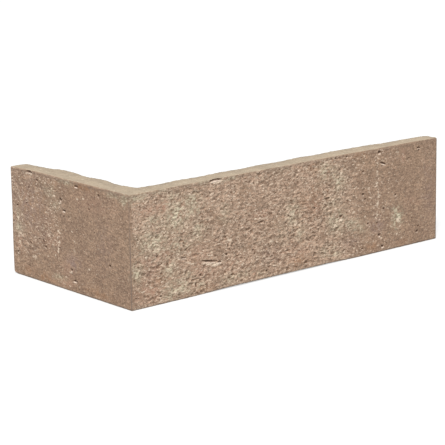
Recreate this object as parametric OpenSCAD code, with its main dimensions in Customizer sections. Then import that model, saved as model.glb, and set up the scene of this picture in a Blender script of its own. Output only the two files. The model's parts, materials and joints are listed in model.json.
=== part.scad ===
// Corner brick slip: one L-shaped piece of fired clay that turns the outside corner of a wall.
// The long leg carries the stretcher face and the short leg the header face. The section is the
// same from the bed face up to the top face. Upright flutes key the backs between flat lands,
// and each leg is a little thinner towards its free end.
//
// The origin is where the wall's own corner comes: on the bed face, where the planes of the lands
// of the two backs meet. X runs along the long leg, Y along the short leg and Z up. The sizes are
// in millimetres.

/* [Format] */
// Length of the long leg, over the outside
stretcher_length = 240; // [200:5:300]
// Length of the short leg, over the outside
header_length = 115; // [100:5:150]
// Height between the two cut faces
slip_height = 65; // [40:1:90]

/* [Walls] */
// Thickness of the long leg, from its face to the lands of its back
stretcher_wall = 12.5; // [10:0.5:20]
// Thickness of the short leg, from its face to the lands of its back
header_wall = 14.5; // [11:0.5:20]

/* [Edges] */
// Radius of the upright outside arris, where the two faces meet
corner_arris_r = 1; // [0.9:0.1:4]
// Radius of the upright front arris at each free end
end_arris_r = 1; // [0.9:0.1:3]
// Radius of the upright back arris at each free end
end_back_r = 3; // [1:0.5:4]
// Radius of the fillet in the inside corner
inside_fillet_r = 3; // [1:0.5:6]
// Radius along the top and bottom edges of the faces and the ends
cut_edge_r = 0.5; // [0.3:0.1:0.8]

/* [Flutes of the backs] */
// Distance between the middles of two flutes
flute_pitch = 30; // [26:1:50]
// Width of a flute
flute_width = 22; // [14:1:24]
// Depth of the flutes in the short leg
header_flute_depth = 1.6; // [0.4:0.1:2]
// Depth of the flutes in the long leg
stretcher_flute_depth = 0.8; // [0.4:0.1:2]
// Radius that rounds each side of a flute over into the land
flute_side_r = 12; // [4:1:16]
// Land between the fillet of the inside corner and the first flute
corner_land = 0.5; // [0.5:0.5:6]

/* [Thin free ends] */
// How much thinner the short leg is at its free end
header_end_depth = 3.3; // [1:0.1:4]
// How much thinner the long leg is at its free end
stretcher_end_depth = 2.2; // [1:0.1:4]
// Length of the thin end of the short leg, with its slope
header_end_length = 34; // [20:1:36]
// Length of the thin end of the long leg, with its slope
stretcher_end_length = 52; // [36:1:60]
// Radius of the two curves of the slope in the short leg
header_slope_r = 12; // [4:1:14]
// Radius of the two curves of the slope in the long leg
stretcher_slope_r = 40; // [10:1:50]

/* [Hidden] */

clay = [0.63, 0.52, 0.44];
fine = 96;
past = 6;

header_thin = header_wall - header_end_depth;
stretcher_thin = stretcher_wall - stretcher_end_depth;
first_flute = inside_fillet_r + corner_land + flute_width / 2;

// What a round takes off a square corner at the origin, for stuff that fills the +X +Y quarter
module corner_waste(r) {
    difference() {
        translate([-past, -past]) square(past + r);
        translate([r, r]) circle(r, $fn = fine);
    }
}

// One flute, across the origin, cut down from a land along the X axis. Its hollow is an arc,
// and an arc of flute_side_r rounds each side over. The hollow's radius is a little over what
// touching arcs need, so that the arcs cross in a clear line.
module flute_cut(depth) {
    half = flute_width / 2;
    reach = (half * half / depth + depth) / 2;
    touch_r = reach - flute_side_r;
    hollow_r = touch_r + 1;
    meet_x = half * touch_r / reach;
    meet_y = touch_r - depth - (reach - depth) * touch_r / reach;
    difference() {
        translate([-half, -depth]) square([flute_width, depth + past]);
        for (side = [-half, half])
            translate([side, -flute_side_r]) circle(flute_side_r, $fn = fine);
        difference() {
            translate([-meet_x, -depth - 1]) square([2 * meet_x, meet_y + depth + 1]);
            translate([0, hollow_r - depth]) circle(hollow_r, $fn = fine);
        }
    }
}

// The flutes of one leg, from the inside corner at the origin along +X, as many as fit
module flutes(length, depth) {
    count = floor((length - first_flute - flute_width / 2) / flute_pitch) + 1;
    if (count > 0)
        for (i = [0 : count - 1])
            translate([first_flute + i * flute_pitch, 0]) flute_cut(depth);
}

// The thin end of one leg, cut down from a land along the X axis, from the origin along +X. It
// slopes down over two arcs of one radius, a little closer together than touching arcs are, so
// that they cross in a clear line.
module thin_end_cut(length, depth, r) {
    run = sqrt(depth * (4 * r - depth)) - 0.1;
    difference() {
        translate([0, -depth]) square([length + past, depth + past]);
        translate([0, -r]) circle(r, $fn = fine);
        difference() {
            translate([run / 2, -depth - 1]) square([run / 2, depth / 2 + 1]);
            translate([run, r - depth]) circle(r, $fn = fine);
        }
    }
}

// The L of the slip, seen from above
module plan() {
    difference() {
        polygon([
            [0, 0], [stretcher_length, 0], [stretcher_length, stretcher_wall],
            [header_wall, stretcher_wall], [header_wall, header_length], [0, header_length],
        ]);
        corner_waste(corner_arris_r);
        translate([stretcher_length, 0]) rotate(90) corner_waste(end_arris_r);
        translate([0, header_length]) rotate(270) corner_waste(end_arris_r);
        translate([stretcher_length, stretcher_thin]) rotate(180) corner_waste(end_back_r);
        translate([header_thin, header_length]) rotate(180) corner_waste(end_back_r);
        translate([header_wall, stretcher_wall])
            flutes(stretcher_length - stretcher_end_length - header_wall, stretcher_flute_depth);
        translate([header_wall, stretcher_wall]) mirror([1, -1])
            flutes(header_length - header_end_length - stretcher_wall, header_flute_depth);
        translate([stretcher_length - stretcher_end_length, stretcher_wall])
            thin_end_cut(stretcher_end_length, stretcher_end_depth, stretcher_slope_r);
        translate([header_wall, header_length - header_end_length]) mirror([1, -1])
            thin_end_cut(header_end_length, header_end_depth, header_slope_r);
    }
}

// The fillet of the inside corner, let into both legs
module inside_fillet() {
    r = inside_fillet_r;
    difference() {
        translate([header_wall - 1, stretcher_wall - 1]) square(r + 1);
        translate([header_wall + r, stretcher_wall + r]) circle(r, $fn = fine);
    }
}

// What the round of a straight top edge takes off, from the origin along +X, with the slip
// below it on the +Y side
module straight_edge_waste(length) {
    rotate([90, 0, 90]) linear_extrude(length) mirror([0, 1]) corner_waste(cut_edge_r);
}

// The same round where the edge turns a corner of radius r about the origin, through the +X +Y
// quarter
module turned_edge_waste(r) {
    rotate_extrude(angle = 90, $fn = fine) translate([r, 0]) rotate(180) corner_waste(cut_edge_r);
}

// The rounds along the top edges of the faces and the ends
module top_edge_waste() {
    l = stretcher_length;
    h = header_length;
    translate([corner_arris_r, 0, 0]) straight_edge_waste(l - corner_arris_r - end_arris_r);
    translate([0, h - end_arris_r, 0]) rotate(270) straight_edge_waste(h - corner_arris_r - end_arris_r);
    translate([l, end_arris_r, 0]) rotate(90) straight_edge_waste(stretcher_thin + past);
    translate([header_thin + past, h, 0]) rotate(180) straight_edge_waste(header_thin + past - end_arris_r);
    translate([corner_arris_r, corner_arris_r, 0]) rotate(180) turned_edge_waste(corner_arris_r);
    translate([l - end_arris_r, end_arris_r, 0]) rotate(270) turned_edge_waste(end_arris_r);
    translate([end_arris_r, h - end_arris_r, 0]) rotate(90) turned_edge_waste(end_arris_r);
}

module corner_slip() {
    color(clay) translate([-header_wall, -stretcher_wall, 0]) difference() {
        linear_extrude(slip_height) {
            plan();
            inside_fillet();
        }
        translate([0, 0, slip_height]) top_edge_waste();
        mirror([0, 0, 1]) top_edge_waste();
    }
}

corner_slip();
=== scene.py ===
import json
import math
from collections import namedtuple

import bpy
import numpy as np
from mathutils import Matrix, Vector, noise

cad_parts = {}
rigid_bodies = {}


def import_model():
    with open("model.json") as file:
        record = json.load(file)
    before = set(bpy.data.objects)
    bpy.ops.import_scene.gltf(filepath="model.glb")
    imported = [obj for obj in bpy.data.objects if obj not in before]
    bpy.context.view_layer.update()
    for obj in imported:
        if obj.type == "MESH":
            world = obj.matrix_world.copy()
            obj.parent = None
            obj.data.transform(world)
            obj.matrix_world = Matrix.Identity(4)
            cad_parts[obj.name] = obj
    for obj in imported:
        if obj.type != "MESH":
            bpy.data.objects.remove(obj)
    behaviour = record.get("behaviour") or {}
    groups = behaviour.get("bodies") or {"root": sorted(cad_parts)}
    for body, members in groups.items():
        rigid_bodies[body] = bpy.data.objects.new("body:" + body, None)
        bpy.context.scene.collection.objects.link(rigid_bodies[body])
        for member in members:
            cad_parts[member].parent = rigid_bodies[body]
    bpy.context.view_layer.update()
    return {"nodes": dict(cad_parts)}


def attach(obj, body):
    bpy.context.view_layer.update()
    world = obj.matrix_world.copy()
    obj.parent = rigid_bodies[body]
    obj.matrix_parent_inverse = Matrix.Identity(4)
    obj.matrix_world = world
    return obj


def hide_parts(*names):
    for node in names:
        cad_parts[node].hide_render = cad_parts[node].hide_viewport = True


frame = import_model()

MM = 0.001
STRETCHER_FACE = -12.5 * MM
HEADER_FACE = -14.5 * MM
STRETCHER_END = 225.5 * MM
HEADER_END = 102.5 * MM
TOP = 65.0 * MM

# The skin is remade in steps of this size, then thinned to about this many triangles before the holes.
SKIN_STEP = 0.58 * MM
WANTED_TRIANGLES = 172000

# The weights of a vertex group are rounded to this many steps.
GROUP_STEPS = 24

# What drying and handling did to the shape, in millimetres.
HEADER_SAG = 0.65
STRETCHER_SAG = 0.35
STRETCHER_END_SAG = 0.3
BED_ARCH = 0.55
END_DRAWN_IN = 0.5
RUBBED_RADIUS = 4.0

# Where along the legs the skin gets less or more torn, in millimetres from the wall's own corner.
STRETCHER_HALF_TORN = (140, 163)
STRETCHER_NEARLY_WHOLE = (180, 200)
HEADER_HALF_TORN = (42, 62)
HEADER_END_TORN = (80, 92)

# The borders of that wander by slow noise with features of these two sizes.
SLOW_DRIFT = 11 * MM
FINE_DRIFT = 4 * MM

# Holes with a half width above this get finer faces in four places, and the others in one.
WIDE_HOLE = 2.5 * MM

# How far a ledge under a hole stands out.
LEDGE_RAISED = 0.2 * MM

# The height of a crumb over the evened skin that counts as full for its painted highlight or shade, and the
# rounds of evening.
CRUMB_HEIGHT = 0.35 * MM
EVEN_ROUNDS = 14

# How deep under a face its skin reaches, how far short of the free ends it stops, and how thick
# the cut layer of the top and the bed is taken.
SKIN_DEPTH = 2.2 * MM
SKIN_MARGIN = 0.7 * MM
CUT_LAYER = 0.22 * MM

# The pressed relief: name, noise, size, layers of noise, strength, the group that holds it,
# the level of the noise that stays put, and the grain. Size and strength are in millimetres.
RELIEFS = [
    ("torn_crumbs", "HARD_NOISE", 1.6, 1, -1.12, "rough", 0.0, "lying_grain"),
    ("small_crumbs", "SOFT_NOISE", 1.1, 1, 0.90, "rough", 0.75, "lying_grain"),
    ("lumps", "SOFT_NOISE", 5.0, 2, 0.40, "rough", 0.8, None),
    ("sand", "SOFT_NOISE", 1.1, 1, 0.30, "front", 0.8, None),
    ("slow_waves", "SOFT_NOISE", 19.0, 1, 0.25, "front", 0.8, None),
    ("drag_lines", "SOFT_NOISE", 1.8, 2, 0.40, "rest", 0.6, "standing_grain"),
    ("drag_ribs", "SOFT_NOISE", 5.5, 1, 0.60, "backs", 0.5, "standing_grain"),
]

# Each grain stretches the noise along the axes. The patterns start a little off the origin.
GRAINS = {"lying_grain": (2.1, 2.1, 1.0), "standing_grain": (1.0, 1.0, 9.0)}
GRAIN_START = (3.1 * MM, 4.7 * MM, 2.3 * MM)

# The studio: floor, light from all sides, and one soft sun.
FLOOR_SIZE = 14.0
FLOOR_LEVEL = -0.05 * MM
FLOOR_GREY = 0.5
FLOOR_WHITE = 0.97
FLOOR_GLOW = 0.5
SKY_LEVEL = 0.50
SUN_LEVEL = 2.9
SUN_WIDTH = math.radians(16)
SUN_PLACE = (-1.0, -1.0, 1.7)
SUN_DIRECTION = (0.72, 0.70, -1.22)

# The camera, fitted to the outline. The focal length is given in pixels of a picture 445 wide.
CAMERA_YAW = math.radians(-39.915)
CAMERA_PITCH = math.radians(13.32)
CAMERA_ROLL = math.radians(-0.98)
CAMERA_AIM = (0.0510, -0.0125, 0.0392)
CAMERA_DISTANCE = 1.046
SENSOR_WIDTH = 36.0
FOCAL_PIXELS = 1858.0
PICTURE_WIDTH = 445.0


def srgb(red, green, blue):
    """A colour written as it looks on a screen, 0 to 255, turned into the light it stands for."""
    values = []
    for part in (red, green, blue):
        part = part / 255
        values.append(part / 12.92 if part <= 0.04045 else ((part + 0.055) / 1.055) ** 2.4)
    return (*values, 1.0)


# How matt all of the clay is.
CLAY_ROUGHNESS = 0.92
CLAY_SPECULAR = 0.25

# The fired skin, from its ground to the marks on it.
SKIN_DARK = srgb(154, 128, 108)
SKIN_LIGHT = srgb(164, 137, 115)
SKIN_TORN = srgb(176, 149, 128)
FLASHED = srgb(187, 147, 125)
SCORCHED = srgb(162, 122, 91)
STARVED = srgb(150, 127, 118)
CRUST = srgb(158, 150, 127)
CRUST_CREAM = srgb(222, 210, 182)
WARM_CLAY = srgb(190, 149, 122)
PALE_CRUMB = srgb(230, 208, 185)
# Painted highlight on the curled ridges of the torn skin.
CURL_HIGHLIGHT = srgb(224, 201, 177)
# Painted shade in the crevices of the torn skin.
HOLLOW_SHADE = srgb(107, 81, 61)
# Painted highlight on raised crumbs, and painted shade on sunk ones.
CRUMB_HIGHLIGHT = srgb(220, 197, 172)
CRUMB_SHADE = srgb(112, 86, 67)
MOTE = srgb(208, 187, 162)
# Painted shade of pinholes, as dark specks.
PINHOLE_SHADE = srgb(98, 75, 60)
LIME = srgb(227, 207, 184)
# Painted highlight on the raised ledge under a hole.
LEDGE_HIGHLIGHT = srgb(244, 222, 202)
# Painted shade in the bowls of the holes.
PIT_SHADE = srgb(102, 78, 64)
# Painted shade along the arrises.
RIM_SHADE = srgb(130, 112, 99)

# The body where a wire cut it, on top and bed.
CUT_DARK = srgb(174, 158, 137)
CUT_LIGHT = srgb(185, 168, 145)
CUT_GRIT = srgb(150, 128, 106)
CUT_CRUMB = srgb(206, 193, 170)

# The body where the die drew it, on the backs and free ends.
DRAWN_DARK = srgb(180, 161, 136)
DRAWN_LIGHT = srgb(195, 175, 148)
DRAWN_FLUSH = srgb(172, 145, 122)
DRAWN_SCORE = srgb(134, 112, 91)
DRAWN_GRIT = srgb(130, 105, 84)
DRAWN_CRUMB = srgb(222, 208, 182)

# Holes in the header face: place along the leg, height, half width, half height and depth in
# millimetres, then slope, arch and lip. An arched one is a shell-shaped tear, and a lip is a ledge
# under it, raised a little and given a painted highlight.
HEADER_HOLES = [
    (82.6, 63.9, 3.2, 0.75, 0.90, 0.0, 0.5, 0.6), (36.3, 62.4, 2.2, 0.55, 0.90, 0.0, 0.4, 0.8),
    (48.9, 46.4, 2.1, 0.55, 0.90, 0.0, 0.4, 0.9), (40.3, 6.9, 2.3, 0.50, 0.90, 0.0, 0.4, 0.9),
    (52.0, 52.4, 1.20, 0.90, 1.10, 0.0, 0.0, 0.6), (15.6, 60.3, 1.05, 0.75, 0.90, 0.0, 0.0, 0.3),
    (24.8, 51.1, 0.85, 0.55, 0.60, 0.0, 0.0, 0.0), (25.3, 53.8, 0.60, 0.40, 0.40, 0.0, 0.0, 0.0),
    (96.3, 42.1, 0.95, 0.65, 0.70, 0.0, 0.0, 0.3), (86.2, 44.8, 0.90, 0.55, 0.60, 0.0, 0.0, 0.0),
    (83.6, 54.5, 0.90, 0.55, 0.60, 0.0, 0.0, 0.0), (74.9, 60.0, 1.00, 0.60, 0.60, 0.0, 0.0, 0.3),
    (43.4, 12.9, 1.20, 0.80, 1.10, 0.0, 0.0, 0.6), (6.8, 22.0, 1.20, 0.80, 0.90, 0.0, 0.0, 0.2),
    (70.5, 25.0, 1.30, 0.80, 0.60, 0.3, 0.0, 0.0), (68.2, 21.8, 1.10, 0.70, 0.55, 0.0, 0.0, 0.3),
    (83.7, 21.6, 0.90, 0.55, 0.60, 0.0, 0.0, 0.0), (97.2, 13.9, 0.90, 0.55, 0.60, 0.0, 0.0, 0.4),
    (85.6, 7.5, 0.90, 0.50, 0.60, 0.0, 0.0, 0.0), (75.1, 25.3, 0.70, 0.45, 0.50, 0.0, 0.0, 0.0),
    (55.0, 23.6, 0.60, 0.50, 0.50, 0.0, 0.0, 0.0), (30.6, 36.4, 0.70, 0.45, 0.45, 0.0, 0.0, 0.3),
]

# The same on the stretcher face. The first is the chip in the upper arris, and the next two are
# the long slot.
STRETCHER_HOLES = [
    (47.0, 64.5, 4.60, 0.75, 0.90, 0.0, 1.2, 1.6), (41.0, 18.5, 6.20, 0.60, 0.70, -0.18, 0.0, 0.4),
    (48.8, 16.6, 1.80, 0.45, 0.60, -0.15, 0.0, 0.8),
    (175.5, 62.1, 1.40, 0.90, 1.00, 0.0, 0.0, 0.7), (178.6, 54.9, 2.60, 0.60, 0.90, -0.35, 0.3, 0.8),
    (209.0, 60.3, 2.00, 0.55, 0.80, 0.0, 0.5, 0.4), (209.0, 58.8, 0.80, 0.60, 0.60, 0.0, 0.0, 0.0),
    (189.3, 33.8, 1.00, 0.70, 0.80, 0.0, 0.0, 0.4), (161.9, 38.3, 1.00, 0.80, 0.80, 0.0, 0.0, 0.4),
    (163.6, 35.0, 0.90, 0.60, 0.70, 0.0, 0.0, 0.0), (175.4, 10.9, 1.25, 0.95, 1.00, 0.0, 0.0, 0.8),
    (208.2, 7.8, 1.20, 0.70, 0.90, 0.0, 0.0, 0.3), (209.2, 10.9, 0.90, 0.60, 0.60, 0.0, 0.0, 0.0),
    (179.6, 26.7, 0.80, 0.55, 0.60, 0.0, 0.0, 0.0), (173.7, 18.6, 0.80, 0.60, 0.60, 0.0, 0.0, 0.0),
    (165.9, 19.4, 0.90, 0.60, 0.60, 0.0, 0.0, 0.3), (148.3, 63.2, 0.90, 0.55, 0.70, 0.0, 0.0, 0.0),
    (139.4, 63.4, 0.80, 0.50, 0.60, 0.0, 0.0, 0.0), (143.4, 27.6, 1.30, 0.75, 0.90, 0.0, 0.0, 0.0),
    (161.3, 4.6, 0.90, 0.55, 0.60, 0.0, 0.0, 0.3), (178.3, 3.4, 1.50, 0.75, 0.90, 0.0, 0.2, 0.9),
    (84.2, 5.0, 0.90, 0.60, 0.70, 0.0, 0.0, 0.0), (80.5, 34.6, 3.00, 0.40, 0.70, 0.0, 0.0, 0.0),
    (54.5, 19.9, 0.90, 0.60, 0.70, 0.0, 0.0, 0.3), (122.3, 35.9, 0.90, 0.60, 0.70, 0.0, 0.0, 0.0),
    (161.9, 52.2, 1.00, 0.70, 0.60, 0.0, 0.0, 0.4), (74.1, 19.2, 0.85, 0.60, 0.70, 0.0, 0.0, 0.0),
    (203.7, 17.0, 0.60, 0.40, 0.40, 0.0, 0.0, 0.0), (200.8, 55.0, 0.60, 0.45, 0.40, 0.0, 0.0, 0.0),
    (4.4, 27.7, 0.90, 0.55, 0.50, 0.0, 0.0, 0.0), (6.3, 4.6, 1.00, 0.55, 0.50, 0.0, 0.0, 0.0),
    (35.2, 11.6, 1.00, 0.70, 0.60, 0.0, 0.0, 0.0), (31.6, 6.0, 0.60, 1.10, 0.45, 0.0, 0.0, 0.0),
    (22.9, 23.6, 2.60, 0.45, 0.35, -0.05, 0.3, 0.6),
]

# Soft spots on the faces: place along the leg, height, half width, half height in millimetres,
# and strength. These are beige crusts of burnt sand.
STRETCHER_CRUSTS = [
    (1.5, 36.0, 9.0, 6.5, 0.95), (3.0, 47.0, 6.5, 4.0, 0.75), (16.3, 57.0, 6.0, 5.0, 0.7),
    (30.0, 53.0, 6.5, 6.5, 0.8), (18.4, 48.0, 8.0, 7.0, 1.2), (12.6, 19.0, 4.5, 7.0, 0.8),
    (22.3, 5.0, 9.0, 3.4, 0.8), (33.6, 37.7, 5.5, 5.0, 0.75), (20.5, 30.8, 9.0, 5.0, 0.6),
    (19.2, 7.3, 8.5, 5.5, 1.0), (12.1, 3.2, 4.5, 2.6, 0.8), (26.0, 12.0, 4.5, 3.0, 0.55),
    (-9.7, 21.5, 3.6, 6.0, 0.85), (-8.4, 63.0, 7.0, 2.5, 0.8), (97.0, 27.1, 5.0, 8.0, 0.2),
    (104.9, 35.4, 4.5, 6.0, 0.9), (96.0, 63.0, 9.0, 2.0, 0.15), (53.6, 44.3, 4.0, 5.0, 0.5),
    (109.7, 23.8, 5.0, 5.0, 0.5), (55.8, 5.4, 5.0, 2.6, 0.7), (66.0, 5.6, 7.0, 2.6, 0.5),
    (78.5, 4.3, 5.0, 2.2, 0.4), (34.8, 6.5, 3.0, 2.6, 0.6), (130.9, 56.8, 4.5, 5.0, 0.85),
    (138.0, 54.5, 4.5, 4.0, 0.5), (141.9, 48.4, 4.2, 5.5, 0.8), (139.7, 25.5, 6.0, 6.5, 1.0),
    (150.5, 22.0, 8.0, 2.4, 0.8), (156.5, 18.5, 6.0, 1.8, 0.7), (160.0, 16.0, 5.0, 1.4, 0.5),
    (132.7, 8.7, 7.0, 3.5, 0.5), (138.8, 5.4, 5.0, 2.4, 0.5), (191.0, 19.0, 3.8, 5.6, 1.2),
    (189.4, 24.6, 3.0, 2.2, 0.7), (136.0, 36.0, 7.0, 4.0, 0.5), (57.0, 63.8, 6.0, 1.3, 0.9),
    (38.0, 64.0, 4.0, 1.1, 0.8), (8.0, 63.8, 6.0, 1.2, 0.8),
]
HEADER_CRUSTS = [
    (59.3, 48.3, 7.0, 3.2, 0.3), (-8.2, 60.9, 3.6, 3.4, 0.8), (96.1, 29.3, 4.6, 3.4, 0.8),
    (96.0, 37.0, 4.0, 3.0, 0.5), (45.8, 63.4, 6.0, 1.6, 0.7), (2.2, 62.5, 5.0, 1.8, 0.6),
    (55.7, 5.9, 6.0, 2.0, 0.5), (63.0, 55.0, 6.0, 4.0, 0.3),
]

# Pinker, harder burnt spots.
STRETCHER_FLASHES = [
    (6.0, 54.0, 14.0, 3.0, 0.8), (22.0, 52.0, 6.0, 3.0, 0.6), (5.0, 24.0, 14.0, 7.0, 0.6),
    (34.0, 24.0, 7.0, 5.0, 0.5), (37.0, 12.0, 9.0, 6.0, 0.55), (81.3, 38.0, 6.0, 3.5, 0.6),
    (123.6, 37.8, 8.0, 5.0, 0.6), (73.9, 4.6, 6.0, 3.0, 0.55), (-2.0, 8.5, 9.0, 5.5, 0.75),
    (205.0, 27.0, 7.0, 3.0, 0.3), (108.0, 12.0, 16.0, 5.0, 0.4), (192.5, 14.0, 3.0, 2.0, 0.8),
    (195.6, 57.0, 1.2, 3.5, 0.9), (60.0, 12.0, 10.0, 5.0, 0.4),
]
HEADER_FLASHES = [
    (20.0, 55.0, 22.0, 5.0, 0.25), (46.0, 12.0, 6.0, 5.0, 0.35), (96.0, 35.5, 4.5, 3.5, 0.6),
    (95.5, 20.0, 2.4, 5.5, 0.7), (50.0, 4.0, 8.0, 2.5, 0.5), (62.0, 28.0, 10.0, 8.0, 0.3),
]

# Orange-brown scorch, and the violet-grey of clay that was starved of air.
STRETCHER_SCORCH = [
    (108.9, 5.5, 6.0, 2.4, 0.7), (168.5, 5.1, 5.0, 2.4, 0.7), (37.6, 3.0, 7.0, 2.0, 0.6),
    (197.4, 2.8, 6.0, 2.0, 0.4), (115.0, 40.0, 12.0, 8.0, 0.3), (4.0, 14.0, 7.0, 4.0, 0.4),
    (122.0, 60.0, 10.0, 3.0, 0.35), (158.0, 63.0, 12.0, 1.6, 0.5),
]
HEADER_SCORCH = [
    (69.4, 3.6, 10.0, 2.6, 0.7), (18.6, 4.1, 12.0, 2.6, 0.55), (87.4, 4.4, 7.0, 2.6, 0.5),
    (31.0, 62.8, 15.0, 1.7, 0.8), (59.0, 60.0, 6.0, 3.0, 0.3), (80.0, 44.0, 16.0, 15.0, 0.35),
]
STRETCHER_STARVED = [
    (173.1, 16.8, 6.0, 4.2, 0.8), (-1.0, 20.0, 4.0, 5.0, 0.5), (86.0, 14.0, 9.0, 5.0, 0.4),
    (152.0, 10.0, 8.0, 4.0, 0.4), (218.0, 34.0, 6.0, 22.0, 0.35),
]
HEADER_STARVED = [
    (41.7, 17.5, 7.0, 4.5, 0.8), (12.0, 34.0, 7.0, 14.0, 0.3), (99.5, 50.0, 2.5, 12.0, 0.5),
    (82.0, 43.0, 17.0, 17.0, 0.6),
]

# Skin a tone darker, and skin a tone lighter.
STRETCHER_SMOKED = [
    (88.6, 62.0, 9.0, 4.5, 1.1), (82.9, 41.5, 4.5, 6.0, 1.3), (125.0, 33.0, 7.0, 6.5, 1.2),
    (147.5, 54.0, 6.0, 5.5, 1.1), (128.5, 61.0, 4.0, 3.5, 0.8), (185.9, 24.7, 4.0, 3.5, 0.8),
    (66.0, 23.6, 4.0, 5.0, 0.8), (82.0, 20.0, 7.0, 7.0, 1.0), (84.7, 10.2, 4.5, 4.0, 0.7),
    (27.2, 33.2, 5.0, 3.0, 0.8), (19.8, 24.7, 5.5, 3.0, 0.8), (39.8, 14.5, 3.5, 3.0, 0.9),
    (39.6, 8.0, 3.0, 4.0, 0.8), (7.4, 10.4, 4.0, 3.0, 1.0), (96.4, 11.7, 4.0, 4.0, 0.6),
    (152.1, 17.0, 7.0, 5.0, 0.6),
]
HEADER_SMOKED = [
    (68.4, 28.9, 8.0, 8.0, 1.2), (68.0, 55.0, 14.0, 5.5, 0.9), (91.8, 57.6, 6.0, 5.0, 0.7),
    (55.2, 48.7, 7.0, 4.0, 0.4),
]
STRETCHER_BLEACHED = [
    (171.4, 12.0, 3.5, 7.0, 1.0), (155.4, 28.4, 4.0, 7.0, 0.9), (30.2, 9.6, 4.0, 5.0, 0.9),
    (113.7, 8.6, 8.0, 4.0, 0.7), (171.3, 59.2, 4.0, 4.5, 0.7),
]
HEADER_BLEACHED = [(62.0, 61.0, 4.0, 2.5, 0.4)]

# Near-white crumbs and lime specks.
STRETCHER_PALES = [
    (173.6, 43.4, 1.6, 1.5, 0.8), (173.3, 49.5, 1.5, 3.2, 0.65), (174.3, 37.6, 1.4, 1.6, 0.7),
    (175.3, 35.4, 1.2, 1.4, 0.8), (173.9, 30.4, 1.4, 2.4, 0.8), (173.5, 24.2, 1.3, 3.0, 0.7),
    (172.9, 20.5, 1.2, 1.8, 0.5), (174.2, 36.0, 1.3, 15.0, 0.5),
    (191.6, 17.6, 2.4, 2.1, 0.95), (193.0, 13.6, 1.5, 1.0, 0.7),
    (189.9, 8.9, 1.7, 1.1, 0.8), (194.3, 5.9, 1.5, 0.8, 0.7), (143.8, 25.3, 1.5, 0.9, 1.6),
    (138.7, 22.7, 1.3, 0.8, 1.4), (134.4, 28.8, 1.0, 0.7, 0.9), (153.6, 28.1, 1.2, 0.8, 0.9),
    (163.6, 24.0, 1.2, 0.7, 0.8), (173.6, 55.8, 1.1, 0.8, 0.9), (190.3, 60.2, 1.6, 0.9, 0.9),
    (195.6, 57.3, 0.9, 2.6, 0.6), (172.2, 57.6, 0.9, 0.8, 0.8), (167.7, 61.1, 1.0, 0.8, 0.7),
    (166.5, 41.6, 1.3, 0.7, 0.8), (184.3, 41.2, 1.1, 0.7, 0.6), (152.3, 40.1, 1.4, 0.6, 0.7),
    (143.9, 54.0, 1.3, 0.8, 1.0), (132.6, 62.3, 1.6, 0.6, 0.9), (129.5, 62.9, 1.2, 0.5, 0.8),
    (134.1, 49.4, 1.4, 0.7, 0.7), (46.4, 15.6, 3.4, 0.85, 1.9),
    (41.6, 16.8, 3.0, 0.60, 1.1), (37.5, 17.6, 3.4, 0.55, 0.8),
    (47.4, 63.2, 3.8, 0.85, 1.9), (56.0, 28.0, 1.6, 0.9, 1.0), (61.5, 13.8, 1.6, 0.8, 0.8),
    (65.5, 12.1, 1.6, 0.8, 0.9), (58.6, 17.0, 1.3, 0.7, 0.8), (76.6, 13.0, 1.4, 0.8, 0.8),
    (88.0, 21.8, 1.6, 1.0, 0.9), (90.5, 6.7, 2.6, 0.6, 0.9), (105.3, 35.9, 1.6, 0.9, 0.9),
    (107.2, 28.8, 1.2, 0.9, 1.0), (76.0, 37.1, 3.0, 0.8, 0.8), (81.3, 36.3, 2.6, 0.6, 0.7),
    (-3.2, 28.5, 1.3, 0.9, 1.0), (0.8, 25.3, 1.6, 0.7, 0.9), (-6.5, 9.6, 2.6, 0.6, 0.9),
    (-0.3, 10.6, 2.4, 0.6, 0.8), (5.4, 9.5, 1.6, 0.6, 0.8), (29.0, 19.0, 1.8, 0.8, 0.8),
    (25.4, 20.6, 2.0, 0.7, 0.8), (28.0, 25.5, 1.8, 0.9, 0.8), (20.0, 9.5, 1.4, 0.9, 0.8),
    (16.5, 4.9, 1.4, 0.7, 0.8), (24.0, 5.4, 1.6, 0.7, 0.8), (11.5, 18.5, 1.2, 0.8, 0.7),
]
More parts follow.
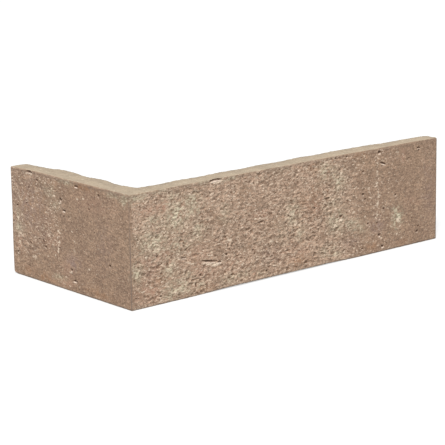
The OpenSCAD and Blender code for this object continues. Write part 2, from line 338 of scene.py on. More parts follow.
HEADER_PALES = [
    (80.1, 63.0, 1.2, 0.7, 0.9), (85.3, 62.7, 1.2, 0.7, 0.9), (52.9, 50.1, 1.8, 0.6, 1.0),
    (58.0, 47.1, 1.6, 0.7, 0.9), (58.9, 53.6, 1.6, 0.8, 0.9), (63.3, 52.4, 1.3, 0.7, 0.8),
    (35.4, 55.3, 1.3, 0.8, 0.9), (29.8, 56.3, 1.3, 0.7, 0.9), (53.0, 59.3, 1.4, 0.7, 0.8),
    (45.8, 63.4, 1.6, 0.6, 0.8), (95.7, 34.7, 1.8, 1.1, 0.9), (91.7, 33.9, 1.5, 0.9, 0.8),
    (91.5, 37.1, 1.5, 0.9, 0.8), (66.1, 42.6, 2.2, 0.6, 0.8), (95.3, 19.9, 1.6, 2.6, 0.7),
    (93.5, 25.1, 1.2, 1.2, 0.8), (55.3, 33.3, 1.2, 1.4, 0.9), (56.5, 29.4, 1.0, 1.6, 0.7),
    (54.3, 27.0, 1.1, 1.2, 0.9), (56.0, 21.9, 1.1, 2.2, 0.8), (58.5, 18.3, 1.1, 1.4, 0.7),
    (56.0, 26.0, 1.2, 10.0, 0.5), (95.6, 22.0, 1.8, 9.0, 0.5),
    (64.8, 29.2, 1.3, 1.2, 0.9), (64.9, 35.0, 0.6, 4.0, 0.6), (41.5, 35.4, 1.3, 0.8, 0.8),
    (39.9, 30.0, 1.3, 0.7, 0.7), (39.9, 24.4, 1.4, 0.8, 0.8), (79.6, 13.8, 3.2, 1.7, 0.74),
    (96.7, 13.0, 1.4, 0.8, 0.8), (44.2, 11.1, 1.6, 0.6, 1.0), (48.6, 7.7, 1.5, 0.7, 0.8),
    (26.7, 16.1, 1.8, 0.9, 0.8), (19.1, 14.9, 1.4, 0.7, 0.8), (-6.4, 18.4, 3.0, 0.5, 0.6),
    (51.2, 3.3, 1.5, 0.7, 0.9), (45.4, 3.2, 1.4, 0.7, 0.8), (54.6, 12.5, 1.4, 0.7, 0.7),
    (57.0, 36.6, 1.4, 1.0, 0.7), (60.8, 24.6, 1.0, 1.2, 0.7),
]

SPOTS = {
    "crust": (STRETCHER_CRUSTS, HEADER_CRUSTS),
    "flash": (STRETCHER_FLASHES, HEADER_FLASHES),
    "scorch": (STRETCHER_SCORCH, HEADER_SCORCH),
    "starved": (STRETCHER_STARVED, HEADER_STARVED),
    "smoked": (STRETCHER_SMOKED, HEADER_SMOKED),
    "bleached": (STRETCHER_BLEACHED, HEADER_BLEACHED),
    "pale": (STRETCHER_PALES, HEADER_PALES),
}

Hole = namedtuple("Hole", "middle axis inward wide high depth slope arch lip")


def stand_on(piece):
    """Leaves only this piece selected, and active."""
    bpy.ops.object.select_all(action="DESELECT")
    piece.select_set(True)
    bpy.context.view_layer.objects.active = piece


def apply_all(piece):
    stand_on(piece)
    for modifier in list(piece.modifiers):
        bpy.ops.object.modifier_apply(modifier=modifier.name)


def read_points(piece):
    points = np.empty(len(piece.data.vertices) * 3)
    piece.data.vertices.foreach_get("co", points)
    return points.reshape(-1, 3)


def write_points(piece, points):
    piece.data.vertices.foreach_set("co", points.ravel())
    piece.data.update()


def read_normals(piece):
    normals = np.empty(len(piece.data.vertices) * 3)
    piece.data.vertices.foreach_get("normal", normals)
    return normals.reshape(-1, 3)


def read_faces(piece, what):
    """The middle ("center") or the direction ("normal") of every face."""
    values = np.empty(len(piece.data.polygons) * 3)
    piece.data.polygons.foreach_get(what, values)
    return values.reshape(-1, 3)


def smooth_step(low, high, value):
    """A smooth way from 0 at low to 1 at high, level beyond them."""
    t = np.clip((value - low) / (high - low), 0.0, 1.0)
    return t * t * (3.0 - 2.0 * t)


def top_sag(x, y):
    """How far the top has sunk toward the two free ends, all in millimetres."""
    sag = HEADER_SAG * smooth_step(76, 102, y)
    sag = sag + STRETCHER_SAG * smooth_step(135, 175, x)
    return sag + STRETCHER_END_SAG * smooth_step(200, 225, x)


def bed_arch(x):
    """How far the bed has lifted along the middle of the long leg, in millimetres."""
    return BED_ARCH * smooth_step(25, 60, x) * smooth_step(160, 130, x)


def wander(points, size, seed):
    """Slow noise in about -1 to 1 at each point, with features of the given size in metres."""
    spot = Vector((seed * 7.31, seed * 3.17, seed * 5.77))
    return np.array([noise.noise(Vector(p) / size + spot) for p in points])


def set_attribute(piece, name, values):
    layer = piece.data.attributes.new(name, "FLOAT", "POINT")
    layer.data.foreach_set("value", values.astype(np.float32))


def set_group(piece, name, weights):
    """A vertex group with its weights rounded to even steps."""
    group = piece.vertex_groups.new(name=name)
    steps = np.round(np.clip(weights, 0, 1) * GROUP_STEPS).astype(int)
    for step in range(1, GROUP_STEPS + 1):
        chosen = np.nonzero(steps == step)[0]
        if len(chosen):
            group.add(chosen.tolist(), step / GROUP_STEPS, "REPLACE")


def blank():
    """A merged copy of the pressed solid, remade as an even skin of small faces."""
    cad = frame["nodes"]["corner_slip"]
    stand_on(cad)
    bpy.ops.object.duplicate()
    slip = bpy.context.view_layer.objects.active
    bpy.ops.object.parent_clear(type="CLEAR_KEEP_TRANSFORM")
    slip.name = "fired_slip"
    slip.data.name = "fired_slip"
    slip.data.materials.clear()
    stand_on(slip)
    bpy.ops.object.mode_set(mode="EDIT")
    bpy.ops.mesh.select_all(action="SELECT")
    bpy.ops.mesh.remove_doubles(threshold=0.001 * MM)
    bpy.ops.object.mode_set(mode="OBJECT")
    skin = slip.modifiers.new("even_skin", "REMESH")
    skin.mode = "VOXEL"
    skin.voxel_size = SKIN_STEP
    skin.adaptivity = 0.0
    apply_all(slip)
    return slip


def settle_shape(slip):
    """Drying and handling: header end drawn in, top sagged, bed arched, header's lower corner rubbed."""
    points = read_points(slip)
    x, y, z = points.T / MM
    y = y - END_DRAWN_IN * smooth_step(18, 42, z) * smooth_step(60, 102.5, y)
    z = z - top_sag(x, y) * smooth_step(30, 65, z)
    z = z + bed_arch(x) * np.clip(1 - z / 9, 0, 1)
    middle_y = HEADER_END / MM - RUBBED_RADIUS
    away = np.hypot(y - middle_y, z - RUBBED_RADIUS)
    outside = (y > middle_y) & (z < RUBBED_RADIUS) & (away > RUBBED_RADIUS)
    pull = np.where(outside, RUBBED_RADIUS / np.maximum(away, 0.001), 1.0)
    y = np.where(outside, middle_y + (y - middle_y) * pull, y)
    z = np.where(outside, RUBBED_RADIUS + (z - RUBBED_RADIUS) * pull, z)
    write_points(slip, np.stack((x, y, z), axis=1) * MM)


def front_shares(points, normals):
    """How far each point belongs to the stretcher face and to the header face, 0 to 1."""
    x, y = points[:, 0], points[:, 1]
    stretcher = smooth_step(0.35, 0.75, -normals[:, 1]) * (y < STRETCHER_FACE + 1.5 * MM)
    header = smooth_step(0.35, 0.75, -normals[:, 0]) * (x < HEADER_FACE + 1.5 * MM)
    return stretcher, header


def roughness_map(points, normals):
    """How torn and crumbly the skin is, 0 to 1: most on the stretcher face up to its last third, less
    on the far side of the header, and little along the rims, at the corner and at the free ends."""
    x, y, z = points.T / MM
    stretcher, header = front_shares(points, normals)
    near_face = (points[:, 1] < STRETCHER_FACE + 2 * MM) | (points[:, 0] < HEADER_FACE + 2 * MM)
    chosen = np.nonzero(near_face)[0]
    drift = np.zeros(len(points))
    fine = np.zeros(len(points))
    drift[chosen] = wander(points[chosen], SLOW_DRIFT, 1)
    fine[chosen] = wander(points[chosen], FINE_DRIFT, 2)
    along = x + 12 * drift + 5 * fine
    long_side = 1 - 0.52 * smooth_step(*STRETCHER_HALF_TORN, along)
    long_side = long_side - 0.34 * smooth_step(*STRETCHER_NEARLY_WHOLE, along)
    long_side = long_side * (0.80 + 0.50 * drift + 0.40 * fine)
    along = y + 10 * drift + 5 * fine
    short_side = 0.16 + 0.36 * smooth_step(*HEADER_HALF_TORN, along) * smooth_step(4, 26, z)
    short_side = short_side + 0.12 * smooth_step(*HEADER_END_TORN, along)
    short_side = short_side * (0.9 + 0.5 * drift + 0.3 * fine)
    rough = stretcher * long_side + header * short_side
    below_top = TOP / MM - top_sag(x, y) - z
    above_bed = z - bed_arch(x)
    rim = np.minimum(smooth_step(0.0, 1.6, below_top), smooth_step(0.0, 1.2, above_bed))
    corner = smooth_step(0.4, 2.8, np.maximum(x - HEADER_FACE / MM, y - STRETCHER_FACE / MM))
    ends = smooth_step(0.4, 2.6, np.minimum(STRETCHER_END / MM - x, HEADER_END / MM - y))
    return np.clip(rough * (0.35 + 0.65 * rim) * (0.15 + 0.85 * corner) * (0.1 + 0.9 * ends), 0, 1)


def cloud_pattern(name, kind, size, layers):
    pattern = bpy.data.textures.new(name, "CLOUDS")
    pattern.noise_type = kind
    pattern.noise_scale = size
    pattern.noise_depth = layers
    return pattern


def guide_frame(name):
    """An empty whose scale stretches the noise that is laid by it."""
    bpy.ops.object.select_all(action="DESELECT")
    bpy.ops.object.empty_add(location=GRAIN_START)
    guide = bpy.context.view_layer.objects.active
    guide.name = name
    guide.scale = GRAINS[name]
    bpy.context.view_layer.update()
    return guide


def press(piece, name, pattern, strength, group, resting, guide):
    """Moves a group's points in and out by a pattern, about the level that stays put."""
    relief = piece.modifiers.new(name, "DISPLACE")
    relief.texture = pattern
    relief.strength = strength
    relief.mid_level = resting
    relief.direction = "NORMAL"
    relief.vertex_group = group
    if guide is None:
        relief.texture_coords = "LOCAL"
    else:
        relief.texture_coords = "OBJECT"
        relief.texture_coords_object = guide


def tear_skin(slip):
    """The relief of the clay, pressed in by displacement: torn crumbs, sand, slow waves, drag lines."""
    points = read_points(slip)
    normals = read_normals(slip)
    x, y, z = points.T
    rough = roughness_map(points, normals)
    stretcher, header = front_shares(points, normals)
    ends = smooth_step(0.2, 2.6, np.minimum(STRETCHER_END - x, HEADER_END - y) / MM)
    calmer = 1 - 0.28 * smooth_step(26, 52, z / MM) - 0.15 * smooth_step(14, -4, x / MM)
    rest = np.clip(1 - stretcher - header, 0, 1)
    upright_walls = np.clip(1 - np.abs(normals[:, 2]) * 2, 0, 1)
    set_group(slip, "rough", rough ** 1.3 * calmer)
    set_group(slip, "front", np.clip(stretcher + header, 0, 1) * (0.1 + 0.9 * ends))
    set_group(slip, "rest", rest)
    set_group(slip, "backs", rest * upright_walls * ends)
    guides = {name: guide_frame(name) for name in GRAINS}
    for name, kind, size, layers, strength, group, resting, grain in RELIEFS:
        pattern = cloud_pattern(name, kind, size * MM, layers)
        press(slip, name, pattern, strength * MM, group, resting, guides.get(grain))
    apply_all(slip)
    for guide in guides.values():
        stand_on(guide)
        bpy.ops.object.delete()


def thin_out_rest(slip):
    """Fewer, larger faces on the backs, top, bed and ends, so that the whole keeps the wanted number."""
    stretcher, header = front_shares(read_points(slip), read_normals(slip))
    set_group(slip, "plain_sides", (stretcher + header < 0.02).astype(float))
    thinner = slip.modifiers.new("thin_out_rest", "DECIMATE")
    thinner.ratio = WANTED_TRIANGLES / (2 * len(slip.data.polygons))
    thinner.vertex_group = "plain_sides"
    apply_all(slip)


def select_faces_near(piece, spots):
    """Selects the faces whose middle lies near any of the spots, each given with its reach."""
    middles = read_faces(piece, "center")
    near = np.zeros(len(middles), dtype=bool)
    for spot, reach in spots:
        near |= np.linalg.norm(middles - spot, axis=1) < reach
    piece.data.polygons.foreach_set("select", near)
    piece.data.update()


def place_holes():
    """Every hole: its middle, the axis along its face, the axis into the clay, its measures in metres."""
    holes = []
    for along, height, wide, high, depth, slope, arch, lip in HEADER_HOLES:
        middle = np.array((HEADER_FACE, along * MM, height * MM))
        holes.append(Hole(middle, 1, 0, wide * MM, high * MM, depth * MM, slope, arch, lip))
    for along, height, wide, high, depth, slope, arch, lip in STRETCHER_HOLES:
        middle = np.array((along * MM, STRETCHER_FACE, height * MM))
        holes.append(Hole(middle, 0, 1, wide * MM, high * MM, depth * MM, slope, arch, lip))
    return holes


def hole_shares(points, hole):
    """The points near a hole, with how far each lies in its bowl and on its lower ledge, 0 to 1."""
    near = np.nonzero(np.linalg.norm(points - hole.middle, axis=1) < hole.wide + 4 * MM)[0]
    near = near[np.abs(points[near, hole.inward] - hole.middle[hole.inward]) < 2.5 * MM]
    along = points[near, hole.axis] - hole.middle[hole.axis]
    across = along / hole.wide
    line = hole.middle[2] + hole.slope * along - hole.arch * hole.high * across ** 2
    rise = (points[near, 2] - line) / hole.high
    bowl = np.clip(1 - across ** 2 - rise ** 2, 0, 1) ** 0.7
    ledge_high = max(0.5 * MM, 0.7 * hole.high)
    below = (points[near, 2] - line + hole.high + 0.55 * ledge_high) / ledge_high
    ledge = hole.lip * np.clip(1 - (across / 0.9) ** 2 - below ** 2, 0, 1)
    return near, bowl, ledge


def sink_holes(slip, holes):
    """Each hole is sunk into its face, with a small ledge pushed up along its lower rim."""
    spots = []
    for hole in holes:
        for share in (-0.75, -0.25, 0.25, 0.75) if hole.wide > WIDE_HOLE else (0.0,):
            spot = hole.middle.copy()
            spot[hole.axis] += share * hole.wide
            spot[2] += share * hole.wide * hole.slope
            spots.append((spot, min(hole.wide, 1.6 * MM) + 0.7 * MM))
    select_faces_near(slip, spots)
    stand_on(slip)
    bpy.ops.object.mode_set(mode="EDIT")
    bpy.ops.mesh.subdivide(number_cuts=1, smoothness=0.0)
    bpy.ops.object.mode_set(mode="OBJECT")
    points = read_points(slip)
    pit_shades = np.zeros(len(points))
    ledge_highlights = np.zeros(len(points))
    for hole in holes:
        near, bowl, ledge = hole_shares(points, hole)
        points[near, hole.inward] += hole.depth * bowl - LEDGE_RAISED * ledge
        # The bowls are kept for painted shade in the holes, and the ledges for a painted highlight under
        # them.
        pit_shades[near] = np.maximum(pit_shades[near], np.clip(bowl * 1.35, 0, 1))
        ledge_highlights[near] = np.maximum(ledge_highlights[near], np.clip(ledge * 1.3, 0, 1))
    points = np.clip(points, (HEADER_FACE, STRETCHER_FACE, 0.0), (STRETCHER_END, HEADER_END, TOP))
    write_points(slip, points)
    return pit_shades, ledge_highlights


def even_out(piece, values, rounds):
    """Averages a value over neighbouring points, a few rounds."""
    ends = np.empty(len(piece.data.edges) * 2, dtype=np.int64)
    piece.data.edges.foreach_get("vertices", ends)
    first, second = ends.reshape(-1, 2).T
    size = len(values)
    count = np.bincount(first, minlength=size) + np.bincount(second, minlength=size) + 1.0
    level = values.copy()
    for _ in range(rounds):
        total = level + np.bincount(first, level[second], size) + np.bincount(second, level[first], size)
        level = total / count
    return level


def soft_spots(points, spots, axis, face, inward):
    """Soft-edged round spots on one face, the strongest one at each point."""
    share = np.zeros(len(points))
    near = np.nonzero(np.abs(points[:, inward] - face) < 3 * MM)[0]
    along = points[near, axis] / MM
    high = points[near, 2] / MM
    for spot_along, spot_high, wide, tall, strength in spots:
        away = ((along - spot_along) / wide) ** 2 + ((high - spot_high) / tall) ** 2
        share[near] = np.maximum(share[near], strength * np.exp(-away))
    return share


def rim_shade_shares(x, y, z, depth):
    """Painted shade as dark lines along the corner arris, under the top, over the bed and down the
    stretcher's free end, 0 to 1, all in millimetres. The depth is measured from the nearer face."""
    rim = 0.95 * ((x < -13.9) & (y < -11.4)) * (0.6 + 0.4 * smooth_step(50, 30, z))
    below_top = TOP / MM - top_sag(x, y) - z
    above_bed = z - bed_arch(x)
    under = smooth_step(3.4, 0.6, below_top) * smooth_step(0.25, 0.5, below_top)
    rim = np.maximum(rim, np.where(x < -13.9, 0.38, 0.22) * under * (depth < 2.5))
    rim = np.maximum(rim, 0.42 * smooth_step(1.7, 0.4, above_bed) * (depth < 2.5))
    return np.maximum(rim, 0.80 * smooth_step(1.8, 0.5, STRETCHER_END / MM - x) * (depth < 1.2))


def colour_guides(slip, pit_shades, ledge_highlights):
    """Writes where the finish changes, as an attribute for each kind of mark, painted shade and painted
    highlight among them.
    """
    points = read_points(slip)
    x, y, z = points.T / MM
    depth = np.minimum(points[:, 0] - HEADER_FACE, points[:, 1] - STRETCHER_FACE)
    depth = np.clip(depth, 0, 3 * MM)
    level = even_out(slip, depth, EVEN_ROUNDS)
    for name, (long_leg, short_leg) in SPOTS.items():
        stretcher = soft_spots(points, long_leg, 0, STRETCHER_FACE, 1)
        header = soft_spots(points, short_leg, 1, HEADER_FACE, 0)
        set_attribute(slip, name, np.maximum(stretcher, header))
    from_faces = np.minimum(x - HEADER_FACE / MM, y - STRETCHER_FACE / MM)
    set_attribute(slip, "rim", rim_shade_shares(x, y, z, depth / MM))
    set_attribute(slip, "inner", smooth_step(6.0, 8.5, from_faces))
    set_attribute(slip, "torn", roughness_map(points, read_normals(slip)))
    # The height over the evened skin, for painted highlight and shade on the crumbs.
    set_attribute(slip, "height", np.clip((level - depth) / CRUMB_HEIGHT, -1, 1))
    # Where the painted shade of the holes goes.
    set_attribute(slip, "pit", pit_shades)
    set_attribute(slip, "ledge", ledge_highlights)


class Finish:
    """A matt clay finish, put together from patterns that lie fixed in the piece."""

    def __init__(self, name):
        self.material = bpy.data.materials.new(name)
        self.material.use_nodes = True
        self.nodes = self.material.node_tree.nodes
        self.links = self.material.node_tree.links
        self.shader = self.nodes["Principled BSDF"]
        self.place = self.nodes.new("ShaderNodeTexCoord").outputs["Object"]

    def put(self, socket, value):
        """Links another node's output to a socket, or sets it to a plain value."""
        if isinstance(value, bpy.types.NodeSocket):
            self.links.new(value, socket)
        else:
            socket.default_value = value

    def guide(self, name):
        node = self.nodes.new("ShaderNodeAttribute")
        node.attribute_name = name
        return node.outputs["Fac"]

    def stretched(self, x, y, z):
        node = self.nodes.new("ShaderNodeMapping")
        self.links.new(self.place, node.inputs["Vector"])
        node.inputs["Scale"].default_value = (x, y, z)
        return node.outputs["Vector"]

    def grain(self, size, layers=2.0, place=None, shift=0.0, harsh=0.5):
        """Cloudy noise with features of the given size in millimetres. Each shift gives another one."""
        node = self.nodes.new("ShaderNodeTexNoise")
        node.noise_dimensions = "4D"
        self.links.new(place or self.place, node.inputs["Vector"])
        node.inputs["W"].default_value = shift
        node.inputs["Scale"].default_value = 1.0 / (size * MM)
        node.inputs["Detail"].default_value = layers
        node.inputs["Roughness"].default_value = harsh
        return node.outputs["Fac"]

    def ramp(self, value, low, high, start=0.0, end=1.0):
        node = self.nodes.new("ShaderNodeMapRange")
        node.interpolation_type = "SMOOTHSTEP"
        self.put(node.inputs["Value"], value)
        self.put(node.inputs["From Min"], low)
        self.put(node.inputs["From Max"], high)
        self.put(node.inputs["To Min"], start)
        self.put(node.inputs["To Max"], end)
        return node.outputs["Result"]

    def reckon(self, kind, first, second, third=0.0):
        node = self.nodes.new("ShaderNodeMath")
        node.operation = kind
        self.put(node.inputs[0], first)
        self.put(node.inputs[1], second)
        self.put(node.inputs[2], third)
        return node.outputs[0]

    def blend(self, share, first, second):
        node = self.nodes.new("ShaderNodeMix")
        node.data_type = "RGBA"
        node.blend_type = "MIX"
        node.clamp_factor = True
        self.put(node.inputs[0], share)
        self.put(node.inputs[6], first)
        self.put(node.inputs[7], second)
        return node.outputs[2]

    def shade(self, colour, level):
        """The colour made lighter or darker by a level about 1."""
        node = self.nodes.new("ShaderNodeVectorMath")
        node.operation = "SCALE"
        self.put(node.inputs[0], colour)
        self.put(node.inputs["Scale"], level)
        return node.outputs[0]

    def clouded(self, size, layers, dark, light):
        """A ground that drifts between two colours."""
        return self.blend(self.ramp(self.grain(size, layers), 0.35, 0.65), dark, light)

    def mottled(self, colour, pattern, swing, low=0.30):
        """The colour made lighter and darker by a pattern, by up to the given swing."""
        level = self.ramp(pattern, low, 1.0 - low, -1.0, 1.0)
        return self.shade(colour, self.reckon("MULTIPLY_ADD", level, swing, 1.0))

    def sprinkled(self, colour, size, shift, low, high, share, grit):
        """The colour with scattered grains of another one."""
        return self.blend(self.ramp(self.grain(size, 1.0, shift=shift), low, high, 0.0, share), colour, grit)

    def patchy(self, name, size, shift, low, high):
        """A guide's soft spots, broken into patches of the given size."""
        patches = self.ramp(self.grain(size, 2.0, shift=shift), low, high)
        return self.reckon("MULTIPLY", self.guide(name), patches)

    def ragged(self, name, size, shift):
        """A guide's spots with whole middles and ragged rims."""
        uneven = self.reckon("MULTIPLY_ADD", self.grain(size, 2.0, shift=shift), 1.7, -0.85)
        return self.ramp(self.reckon("ADD", self.guide(name), uneven), 0.40, 0.85)

    def finish(self, colour, relief, depth):
        """Joins the colour and a fine relief, its depth in millimetres, to the matt shader."""
        self.links.new(colour, self.shader.inputs["Base Color"])
        self.shader.inputs["Roughness"].default_value = CLAY_ROUGHNESS
        self.shader.inputs["Specular IOR Level"].default_value = CLAY_SPECULAR
        bump = self.nodes.new("ShaderNodeBump")
        bump.inputs["Strength"].default_value = 1.0
        bump.inputs["Distance"].default_value = depth * MM
        self.links.new(relief, bump.inputs["Height"])
        self.links.new(bump.outputs["Normal"], self.shader.inputs["Normal"])
        return self.material


def skin_ground(f, torn):
    """Brown-pink sanded skin, with darker, lighter, flashed, scorched and starved patches."""
    dragged = f.stretched(0.34, 0.34, 1.0)
    colour = f.clouded(12.0, 3.0, SKIN_DARK, SKIN_LIGHT)
    colour = f.blend(f.ramp(torn, 0.35, 0.90), colour, SKIN_TORN)
    swing = f.reckon("MULTIPLY_ADD", torn, 0.16, 0.12)
    colour = f.mottled(colour, f.grain(1.4, 2.0, dragged, 1.0), swing)
    colour = f.mottled(colour, f.grain(0.9, 2.0, shift=5.0, harsh=0.7), 0.31)
    tone = f.reckon("MULTIPLY_ADD", f.patchy("smoked", 3.0, 83.0, 0.30, 0.56), -0.21, 1.0)
    lighter = f.reckon("MULTIPLY", f.patchy("bleached", 3.0, 87.0, 0.30, 0.56), 0.20)
    colour = f.shade(colour, f.reckon("ADD", tone, lighter))
    colour = f.blend(f.patchy("flash", 3.0, 8.0, 0.34, 0.60), colour, FLASHED)
    colour = f.blend(f.patchy("scorch", 3.0, 53.0, 0.34, 0.62), colour, SCORCHED)
    return f.blend(f.patchy("starved", 3.0, 57.0, 0.34, 0.62), colour, STARVED)


def skin_crumbs(f, colour, torn, lying):
    """Crusts, then the crumbs, curls and hollows that are stronger where the skin is more torn: the curls
    are painted highlight, the hollows painted shade, and raised and sunk crumbs get painted highlight and
    painted shade.
    """
    crust = f.patchy("crust", 2.6, 61.0, 0.32, 0.54)
    colour = f.blend(f.reckon("MULTIPLY", crust, 0.66), colour, CRUST)
    cream = f.reckon("MULTIPLY", crust, f.ramp(f.grain(1.0, 1.0, lying, 9.0), 0.47, 0.58))
    colour = f.blend(cream, colour, CRUST_CREAM)
    warm = f.ramp(f.grain(2.0, 2.0, shift=13.0), 0.60, 0.70, 0.0, 0.6)
    colour = f.blend(f.reckon("MULTIPLY", warm, torn), colour, WARM_CLAY)
    near_pale = f.reckon("MULTIPLY_ADD", f.guide("pale"), 0.08, f.grain(1.0, 1.0, lying, 17.0))
    crumbs = f.reckon("MULTIPLY", f.ramp(near_pale, 0.59, 0.69), f.ramp(torn, 0.05, 0.6, 0.24, 0.9))
    colour = f.blend(crumbs, colour, PALE_CRUMB)
    # Painted highlight as pale curls along the grain, stronger where the skin is more torn.
    curl_highlights = f.reckon("SUBTRACT", f.grain(2.1, 2.0, lying, 41.0), 0.5)
    curl_highlights = f.ramp(f.reckon("ABSOLUTE", curl_highlights, 0.0), 0.035, 0.0)
    colour = f.blend(f.reckon("MULTIPLY", curl_highlights, f.ramp(torn, 0.1, 0.9, 0.0, 0.7)), colour, CURL_HIGHLIGHT)
    # Painted shade as dark crevices, stronger where the skin is more torn.
    hollow_shade = f.ramp(f.grain(1.1, 1.0, lying, 23.0), 0.60, 0.70)
    colour = f.blend(f.reckon("MULTIPLY", hollow_shade, f.ramp(torn, 0.05, 0.8, 0.30, 0.85)), colour, HOLLOW_SHADE)
    # Painted highlight on raised crumbs and painted shade on sunk ones, by their height over the evened
    # skin.
    raised = f.ramp(f.guide("height"), 0.10, 0.9, 0.0, 0.5)
    colour = f.blend(f.reckon("MULTIPLY", raised, torn), colour, CRUMB_HIGHLIGHT)
    sunk = f.ramp(f.guide("height"), -0.10, -0.8, 0.0, 0.6)
    return f.blend(f.reckon("MULTIPLY", sunk, torn), colour, CRUMB_SHADE)


def fired_skin():
    """The two faces: brown-pink fired skin, torn and crumbly where the guide says so, with painted shade in
    the holes, in pinholes and along the rims, and a painted highlight on the ledges under the holes.
    """
    f = Finish("fired_skin")
    torn = f.guide("torn")
    lying = f.stretched(0.55, 0.55, 1.0)
    colour = skin_crumbs(f, skin_ground(f, torn), torn, lying)
    colour = f.sprinkled(colour, 1.9, 71.0, 0.69, 0.76, 0.6, MOTE)
    # Painted shade of pinholes, as scattered dark specks.
    colour = f.sprinkled(colour, 1.7, 77.0, 0.70, 0.77, 0.75, PINHOLE_SHADE)
    colour = f.blend(f.ragged("pale", 1.0, 31.0), colour, LIME)
    # Painted highlight on the ledges under the holes.
    colour = f.blend(f.guide("ledge"), colour, LEDGE_HIGHLIGHT)
    # Painted shade in the bowls of the holes.
    colour = f.blend(f.reckon("MULTIPLY", f.guide("pit"), 0.85), colour, PIT_SHADE)
    # Painted shade along the arrises.
    colour = f.blend(f.guide("rim"), colour, RIM_SHADE)
    coarse = f.reckon("MULTIPLY", f.grain(1.3, 2.0, lying, 1.0), torn)
    fine = f.reckon("MULTIPLY", f.grain(0.7, 2.0, shift=2.0, harsh=0.6), 0.8)
    return f.finish(colour, f.reckon("ADD", coarse, fine), 0.6)


def cut_clay():
    """Top and bed: the pale body, cut through by a wire and lightly torn by it."""
    f = Finish("wire_cut_clay")
    dragged = f.stretched(1.0, 0.16, 1.0)
    colour = f.clouded(11.0, 2.0, CUT_DARK, CUT_LIGHT)
    colour = f.mottled(colour, f.grain(1.2, 2.0, dragged, 2.0), 0.04)
    colour = f.mottled(colour, f.grain(1.2, 1.0, shift=5.0), 0.06, 0.25)
    colour = f.sprinkled(colour, 1.9, 7.0, 0.62, 0.70, 0.5, CUT_GRIT)
    colour = f.sprinkled(colour, 2.1, 9.0, 0.62, 0.70, 0.6, CUT_CRUMB)
    colour = f.shade(colour, f.reckon("MULTIPLY_ADD", f.guide("inner"), -0.07, 1.02))
    fine = f.reckon("MULTIPLY", f.grain(0.9, 3.0, shift=2.0, harsh=0.6), 0.7)
    lines = f.reckon("MULTIPLY", f.grain(1.2, 2.0, dragged, 2.0), 0.5)
    return f.finish(colour, f.reckon("ADD", fine, lines), 0.4)


def back_clay():
    """Backs and free ends: pale body with upright drag lines and scores from the die."""
    f = Finish("drawn_back_clay")
    drawn = f.stretched(1.0, 1.0, 0.06)
    colour = f.clouded(17.0, 2.0, DRAWN_DARK, DRAWN_LIGHT)
    flush = f.ramp(f.grain(26.0, 2.0, shift=4.0), 0.50, 0.68, 0.0, 0.6)
    colour = f.blend(flush, colour, DRAWN_FLUSH)
    colour = f.mottled(colour, f.grain(1.5, 2.0, drawn, 2.0), 0.11)
    colour = f.mottled(colour, f.grain(6.0, 2.0, drawn, 15.0), 0.06)
    scores = f.ramp(f.grain(1.1, 1.0, drawn, 21.0), 0.64, 0.72, 0.0, 0.55)
    colour = f.blend(scores, colour, DRAWN_SCORE)
    colour = f.mottled(colour, f.grain(1.1, 1.0, shift=5.0, harsh=0.6), 0.12, 0.25)
    colour = f.sprinkled(colour, 1.9, 7.0, 0.62, 0.70, 0.7, DRAWN_GRIT)
    colour = f.sprinkled(colour, 2.1, 9.0, 0.62, 0.70, 0.7, DRAWN_CRUMB)
    fine = f.reckon("MULTIPLY", f.grain(0.9, 3.0, shift=2.0, harsh=0.6), 0.7)
    lines = f.reckon("MULTIPLY", f.grain(1.5, 2.0, drawn, 2.0), 1.0)
    return f.finish(colour, f.reckon("ADD", fine, lines), 0.8)


def lay_finishes(slip):
    """Skin on the two faces, cut clay on top and bed, drawn clay on the backs and free ends."""
    mesh = slip.data
    for material in (fired_skin(), cut_clay(), back_clay()):
        mesh.materials.append(material)
    skin, cut, drawn = 0, 1, 2
    x, y, z = read_faces(slip, "center").T
    upward = read_faces(slip, "normal")[:, 2]
    top = TOP - top_sag(x / MM, y / MM) * MM
    bed = bed_arch(x / MM) * MM
    choice = np.full(len(mesh.polygons), drawn)
    choice[(y < STRETCHER_FACE + SKIN_DEPTH) & (x < STRETCHER_END - SKIN_MARGIN)] = skin
    choice[(x < HEADER_FACE + SKIN_DEPTH) & (y < HEADER_END - SKIN_MARGIN)] = skin
    choice[(z > top - CUT_LAYER) & (upward > 0.3)] = cut
    choice[(z < bed + CUT_LAYER) & (upward < -0.3)] = cut
    mesh.polygons.foreach_set("material_index", choice.astype(np.int32))
    mesh.polygons.foreach_set("use_smooth", np.ones(len(mesh.polygons), dtype=bool))
    mesh.update()


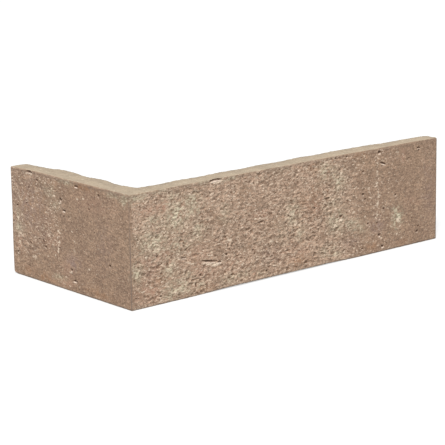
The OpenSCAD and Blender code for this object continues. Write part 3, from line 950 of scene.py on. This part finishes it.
def white_paper():
    """Matt paper that the camera and reflections see nearly white, and that lights the object as grey."""
    paper = bpy.data.materials.new("white_paper")
    paper.use_nodes = True
    nodes = paper.node_tree.nodes
    links = paper.node_tree.links
    nodes.clear()
    out = nodes.new("ShaderNodeOutputMaterial")
    mix = nodes.new("ShaderNodeMixShader")
    matt = nodes.new("ShaderNodeBsdfDiffuse")
    glow = nodes.new("ShaderNodeEmission")
    glow.inputs["Strength"].default_value = 1.0
    path = nodes.new("ShaderNodeLightPath")
    seen = nodes.new("ShaderNodeMath")
    seen.operation = "ADD"
    seen.use_clamp = True
    links.new(path.outputs["Is Camera Ray"], seen.inputs[0])
    links.new(path.outputs["Is Glossy Ray"], seen.inputs[1])
    tone = nodes.new("ShaderNodeMapRange")
    tone.inputs["To Min"].default_value = FLOOR_GREY
    tone.inputs["To Max"].default_value = FLOOR_WHITE
    links.new(seen.outputs[0], tone.inputs["Value"])
    links.new(tone.outputs["Result"], matt.inputs["Color"])
    share = nodes.new("ShaderNodeMath")
    share.operation = "MULTIPLY"
    share.inputs[1].default_value = FLOOR_GLOW
    links.new(seen.outputs[0], share.inputs[0])
    links.new(share.outputs[0], mix.inputs[0])
    links.new(matt.outputs[0], mix.inputs[1])
    links.new(glow.outputs[0], mix.inputs[2])
    links.new(mix.outputs[0], out.inputs["Surface"])
    return paper


def lay_floor():
    bpy.ops.object.select_all(action="DESELECT")
    bpy.ops.mesh.primitive_plane_add(size=FLOOR_SIZE, location=(0, 0, FLOOR_LEVEL))
    floor = bpy.context.view_layer.objects.active
    floor.name = "studio_floor"
    floor.data.materials.append(white_paper())


def light_studio():
    """Even light from all sides, seen as white by the camera, and one soft sun."""
    world = bpy.data.worlds.new("soft_studio")
    bpy.context.scene.world = world
    world.use_nodes = True
    nodes = world.node_tree.nodes
    links = world.node_tree.links
    sky = nodes["Background"]
    sky.inputs["Color"].default_value = (1, 1, 1, 1)
    path = nodes.new("ShaderNodeLightPath")
    level = nodes.new("ShaderNodeMapRange")
    level.inputs["To Min"].default_value = SKY_LEVEL
    level.inputs["To Max"].default_value = 1.0
    links.new(path.outputs["Is Camera Ray"], level.inputs["Value"])
    links.new(level.outputs["Result"], sky.inputs["Strength"])
    bpy.ops.object.select_all(action="DESELECT")
    bpy.ops.object.light_add(type="SUN", location=SUN_PLACE)
    key = bpy.context.view_layer.objects.active
    key.name = "key_light"
    key.data.energy = SUN_LEVEL
    key.data.angle = SUN_WIDTH
    key.rotation_euler = Vector(SUN_DIRECTION).to_track_quat("-Z", "Y").to_euler()


def set_camera():
    """Yaw and pitch place the camera about its aim, and the roll turns it about its own axis."""
    level = math.cos(CAMERA_PITCH)
    back = Vector((math.sin(CAMERA_YAW) * level, -math.cos(CAMERA_YAW) * level, math.sin(CAMERA_PITCH)))
    side = Vector((0, 0, 1)).cross(back).normalized()
    rise = back.cross(side)
    right = side * math.cos(CAMERA_ROLL) + rise * math.sin(CAMERA_ROLL)
    up = rise * math.cos(CAMERA_ROLL) - side * math.sin(CAMERA_ROLL)
    place = Vector(CAMERA_AIM) + back * CAMERA_DISTANCE
    bpy.ops.object.camera_add(location=place)
    camera = bpy.context.view_layer.objects.active
    camera.name = "photo_camera"
    camera.matrix_world = Matrix((
        (right.x, up.x, back.x, place.x),
        (right.y, up.y, back.y, place.y),
        (right.z, up.z, back.z, place.z),
        (0, 0, 0, 1),
    ))
    camera.data.sensor_fit = "HORIZONTAL"
    camera.data.sensor_width = SENSOR_WIDTH
    camera.data.lens = SENSOR_WIDTH * FOCAL_PIXELS / PICTURE_WIDTH
    bpy.context.scene.camera = camera


slip = blank()
settle_shape(slip)
tear_skin(slip)
thin_out_rest(slip)
pit_shade_share, ledge_highlight_share = sink_holes(slip, place_holes())
colour_guides(slip, pit_shade_share, ledge_highlight_share)
lay_finishes(slip)
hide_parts("corner_slip")
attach(slip, "root")

lay_floor()
light_studio()
set_camera()
bpy.context.scene.view_settings.view_transform = "Standard"
